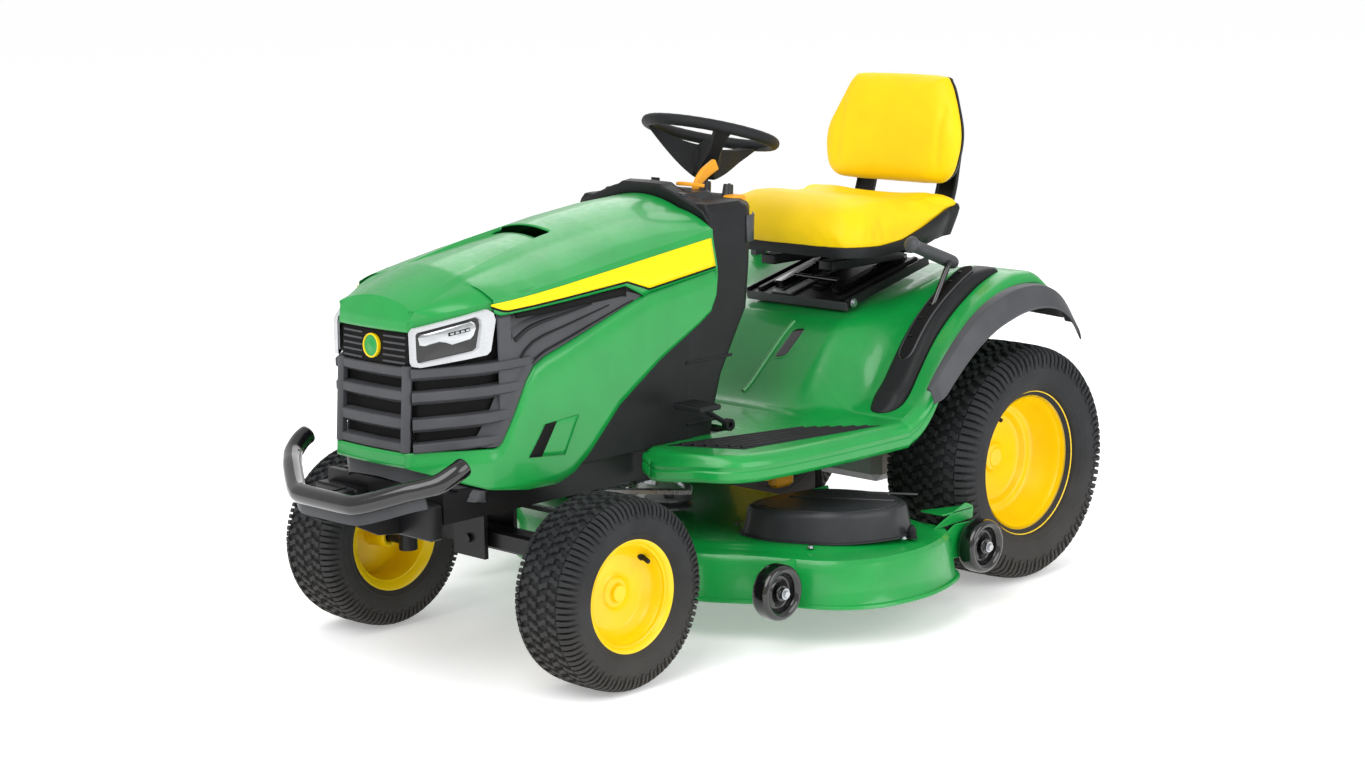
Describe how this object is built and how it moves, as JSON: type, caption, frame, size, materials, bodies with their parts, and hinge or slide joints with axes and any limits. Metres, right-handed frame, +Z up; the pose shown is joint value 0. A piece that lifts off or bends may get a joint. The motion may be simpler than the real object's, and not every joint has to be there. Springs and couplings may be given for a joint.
{
  "type": "riding lawn mower",
  "caption": "Garden tractor with a tilting hood, rocking front axle, hydrostatic rear drive, lifting mower deck with side discharge, and a sprung high-back seat.",
  "frame": {"origin": "on the ground, under the middle of the whole machine's box", "axes": "+X to the driver's left, +Y to the rear, +Z up; the front faces -Y"},
  "size_m": [1.4406, 1.9829, 1.16],
  "materials": {
    "green_paint": "gloss",
    "black_plastic": "textured",
    "grey_plastic": "satin",
    "gloss_black": "gloss",
    "frame_black": "satin",
    "yellow_paint": "satin",
    "yellow_vinyl": "satin",
    "amber_plastic": "satin",
    "tyre_rubber": "matte",
    "black_rubber": "matte",
    "lamp_lens": "clear",
    "cast_aluminium": "cast",
    "bright_steel": "satin",
    "blade_steel": "satin"
  },
  "bodies": {
    "chassis": {"chassis_frame": "frame_black", "front_bumper": "gloss_black", "front_valance": "grey_plastic", "engine_block": "cast_aluminium", "engine_shroud": "black_plastic", "muffler": "bright_steel", "fuel_tank": "grey_plastic", "battery": "black_plastic", "transaxle": "cast_aluminium", "dash_console": "black_plastic", "fender_deck": "green_paint", "fender_trim_left": "grey_plastic", "fender_trim_right": "grey_plastic", "lift_console": "black_plastic"},
    "hood": {"hood_shell": "green_paint", "grille": "black_plastic", "headlight_left": "lamp_lens", "headlight_right": "lamp_lens"},
    "axle": {"front_axle": "frame_black"},
    "spindle_left": {"spindle_left": "frame_black"},
    "spindle_right": {"spindle_right": "frame_black"},
    "tie_rod": {"tie_rod": "bright_steel"},
    "drag_link": {"drag_link": "bright_steel"},
    "sector": {"steering_sector": "bright_steel"},
    "steering": {"steering_wheel": "black_rubber", "steering_shaft": "bright_steel"},
    "front_wheel_left": {"front_tyre_left": "tyre_rubber", "front_rim_left": "yellow_paint"},
    "front_wheel_right": {"front_tyre_right": "tyre_rubber", "front_rim_right": "yellow_paint"},
    "rear_wheel_left": {"rear_tyre_left": "tyre_rubber", "rear_rim_left": "yellow_paint"},
    "rear_wheel_right": {"rear_tyre_right": "tyre_rubber", "rear_rim_right": "yellow_paint"},
    "engine_pulley": {"engine_pulley": "bright_steel"},
    "deck": {"deck_shell": "green_paint", "spindle_cover_left": "black_plastic", "spindle_cover_right": "black_plastic"},
    "chute": {"discharge_chute": "black_plastic"},
    "gauge_front_left": {"gauge_wheel_front_left": "black_plastic"},
    "gauge_front_right": {"gauge_wheel_front_right": "black_plastic"},
    "gauge_rear_left": {"gauge_wheel_rear_left": "black_plastic"},
    "blade_left": {"blade_left": "blade_steel"},
    "blade_centre": {"blade_centre": "blade_steel"},
    "blade_right": {"blade_right": "blade_steel"},
    "lift_shaft": {"lift_shaft": "frame_black", "lift_lever": "black_plastic"},
    "lift_link_left": {"lift_link_left": "frame_black"},
    "lift_link_right": {"lift_link_right": "frame_black"},
    "seat_plate": {"seat_plate": "frame_black"},
    "seat": {"seat_pan": "black_plastic", "seat_cushion": "yellow_vinyl", "back_cushion": "yellow_vinyl"},
    "brake_pedal": {"brake_pedal": "black_rubber"},
    "forward_pedal": {"forward_pedal": "black_rubber"},
    "reverse_pedal": {"reverse_pedal": "black_rubber"},
    "throttle": {"throttle_lever": "amber_plastic"},
    "pto": {"pto_lever": "amber_plastic"},
    "key": {"ignition_key": "black_plastic"},
    "fuel_cap": {"fuel_cap": "black_plastic"}
  },
  "joints": [
    {"name": "hood_tilt", "type": "hinge", "parent": "chassis", "child": "hood", "pos_m": [0.078, -0.867, 0.42], "axis": [1, 0, 0], "range_deg": [0, 70]},
    {"name": "axle_rock", "type": "hinge", "parent": "chassis", "child": "axle", "pos_m": [0.078, -0.5455, 0.262], "axis": [0, 1, 0], "range_deg": [-6, 6]},
    {"name": "kingpin_left_turn", "type": "hinge", "parent": "axle", "child": "spindle_left", "pos_m": [0.34, -0.5455, 0.262], "axis": [0, 0, 1], "range_deg": [-36, 36]},
    {"name": "kingpin_right_turn", "type": "hinge", "parent": "axle", "child": "spindle_right", "pos_m": [-0.184, -0.5455, 0.262], "axis": [0, 0, 1], "range_deg": [-36, 36]},
    {"name": "tie_rod_swing", "type": "hinge", "parent": "spindle_left", "child": "tie_rod", "pos_m": [0.34, -0.447, 0.311], "axis": [0, 0, 1], "range_deg": [-36, 36]},
    {"name": "drag_link_swing", "type": "hinge", "parent": "spindle_left", "child": "drag_link", "pos_m": [0.34, -0.447, 0.266], "axis": [0, 0, 1], "range_deg": [-36, 36]},
    {"name": "sector_turn", "type": "hinge", "parent": "chassis", "child": "sector", "pos_m": [0.078, -0.217, 0.299], "axis": [0, 0, 1], "range_deg": [-36, 36]},
    {"name": "steering_turn", "type": "hinge", "parent": "chassis", "child": "steering", "pos_m": [0.078, 0.168, 1.07], "axis": [0, 0.279, 0.9603], "range_deg": [-216, 216]},
    {"name": "front_wheel_left_spin", "type": "hinge", "parent": "spindle_left", "child": "front_wheel_left", "pos_m": [0.456, -0.5455, 0.2025], "axis": [1, 0, 0], "continuous": true},
    {"name": "front_wheel_right_spin", "type": "hinge", "parent": "spindle_right", "child": "front_wheel_right", "pos_m": [-0.3, -0.5455, 0.2025], "axis": [1, 0, 0], "continuous": true},
    {"name": "rear_wheel_left_spin", "type": "hinge", "parent": "chassis", "child": "rear_wheel_left", "pos_m": [0.48, 0.7115, 0.279], "axis": [1, 0, 0], "continuous": true},
    {"name": "rear_wheel_right_spin", "type": "hinge", "parent": "chassis", "child": "rear_wheel_right", "pos_m": [-0.324, 0.7115, 0.279], "axis": [1, 0, 0], "continuous": true},
    {"name": "engine_pulley_spin", "type": "hinge", "parent": "chassis", "child": "engine_pulley", "pos_m": [0.078, -0.367, 0.37], "axis": [0, 0, 1], "continuous": true},
    {"name": "deck_lift", "type": "slide", "parent": "chassis", "child": "deck", "axis": [0, 0, 1], "range_m": [-0.075, 0]},
    {"name": "lift_shaft_turn", "type": "hinge", "parent": "chassis", "child": "lift_shaft", "pos_m": [0.078, 0.383, 0.4305], "axis": [1, 0, 0], "range_deg": [0, 48]},
    {"name": "lift_link_left_swing", "type": "hinge", "parent": "lift_shaft", "child": "lift_link_left", "pos_m": [0.2875, 0.29497, 0.44921], "axis": [1, 0, 0], "range_deg": [-48, 0]},
    {"name": "lift_link_right_swing", "type": "hinge", "parent": "lift_shaft", "child": "lift_link_right", "pos_m": [-0.1315, 0.29497, 0.44921], "axis": [1, 0, 0], "range_deg": [-48, 0]},
    {"name": "chute_lift", "type": "hinge", "parent": "deck", "child": "chute", "pos_m": [-0.562, 0.083, 0.212], "axis": [0, 1, 0], "range_deg": [0, 75]},
    {"name": "gauge_front_left_spin", "type": "hinge", "parent": "deck", "child": "gauge_front_left", "pos_m": [0.581, -0.172, 0.146], "axis": [1, 0, 0], "continuous": true},
    {"name": "gauge_front_right_spin", "type": "hinge", "parent": "deck", "child": "gauge_front_right", "pos_m": [-0.425, -0.172, 0.146], "axis": [1, 0, 0], "continuous": true},
    {"name": "gauge_rear_left_spin", "type": "hinge", "parent": "deck", "child": "gauge_rear_left", "pos_m": [0.655, 0.431, 0.146], "axis": [1, 0, 0], "continuous": true},
    {"name": "blade_centre_spin", "type": "hinge", "parent": "deck", "child": "blade_centre", "pos_m": [0.078, 0.013, 0.107], "axis": [0, 0, 1], "continuous": true},
    {"name": "blade_left_spin", "type": "hinge", "parent": "deck", "child": "blade_left", "pos_m": [0.483, 0.123, 0.107], "axis": [0, 0, 1], "continuous": true},
    {"name": "blade_right_spin", "type": "hinge", "parent": "deck", "child": "blade_right", "pos_m": [-0.327, 0.123, 0.107], "axis": [0, 0, 1], "continuous": true},
    {"name": "seat_tilt", "type": "hinge", "parent": "chassis", "child": "seat_plate", "pos_m": [0.078, 0.469, 0.652], "axis": [1, 0, 0], "range_deg": [0, 50]},
    {"name": "seat_slide", "type": "slide", "parent": "seat_plate", "child": "seat", "axis": [0, 0.9732, 0.23], "range_m": [-0.04, 0.04]},
    {"name": "brake_pedal_press", "type": "hinge", "parent": "chassis", "child": "brake_pedal", "pos_m": [0.327, -0.047, 0.456], "axis": [1, 0, 0], "range_deg": [0, 16], "stiffness_Nm_per_rad": 40, "springref_deg": -11.46},
    {"name": "forward_pedal_press", "type": "hinge", "parent": "chassis", "child": "forward_pedal", "pos_m": [-0.171, -0.047, 0.456], "axis": [1, 0, 0], "range_deg": [-10, 14], "stiffness_Nm_per_rad": 30},
    {"name": "reverse_pedal_press", "type": "hinge", "parent": "chassis", "child": "reverse_pedal", "pos_m": [-0.191, -0.047, 0.456], "axis": [1, 0, 0], "range_deg": [-14, 10]},
    {"name": "throttle_lever_turn", "type": "hinge", "parent": "chassis", "child": "throttle", "pos_m": [0.168, 0.023, 0.925], "axis": [1, 0, 0], "range_deg": [-28, 24]},
    {"name": "pto_lever_turn", "type": "hinge", "parent": "chassis", "child": "pto", "pos_m": [0.228, 0.073, 0.905], "axis": [1, 0, 0], "range_deg": [0, 24]},
    {"name": "ignition_key_turn", "type": "hinge", "parent": "chassis", "child": "key", "pos_m": [-0.022, 0.088, 0.946], "axis": [0, 0, 1], "range_deg": [0, 90]},
    {"name": "fuel_cap_turn", "type": "hinge", "parent": "chassis", "child": "fuel_cap", "pos_m": [-0.252, 0.683, 0.745], "axis": [0, 0, 1], "range_deg": [0, 180]}
  ],
  "couplings": [
    {"joint": "kingpin_right_turn", "follows": "kingpin_left_turn", "ratio": 1},
    {"joint": "tie_rod_swing", "follows": "kingpin_left_turn", "ratio": -1},
    {"joint": "drag_link_swing", "follows": "kingpin_left_turn", "ratio": -1},
    {"joint": "sector_turn", "follows": "kingpin_left_turn", "ratio": 1},
    {"joint": "steering_turn", "follows": "kingpin_left_turn", "ratio": 6},
    {"joint": "lift_shaft_turn", "follows": "deck_lift", "rad_per_m": -11.17},
    {"joint": "lift_link_left_swing", "follows": "deck_lift", "rad_per_m": 11.17},
    {"joint": "lift_link_right_swing", "follows": "deck_lift", "rad_per_m": 11.17},
    {"joint": "blade_left_spin", "follows": "blade_centre_spin", "ratio": 1},
    {"joint": "blade_right_spin", "follows": "blade_centre_spin", "ratio": 1},
    {"joint": "reverse_pedal_press", "follows": "forward_pedal_press", "ratio": -1}
  ]
}
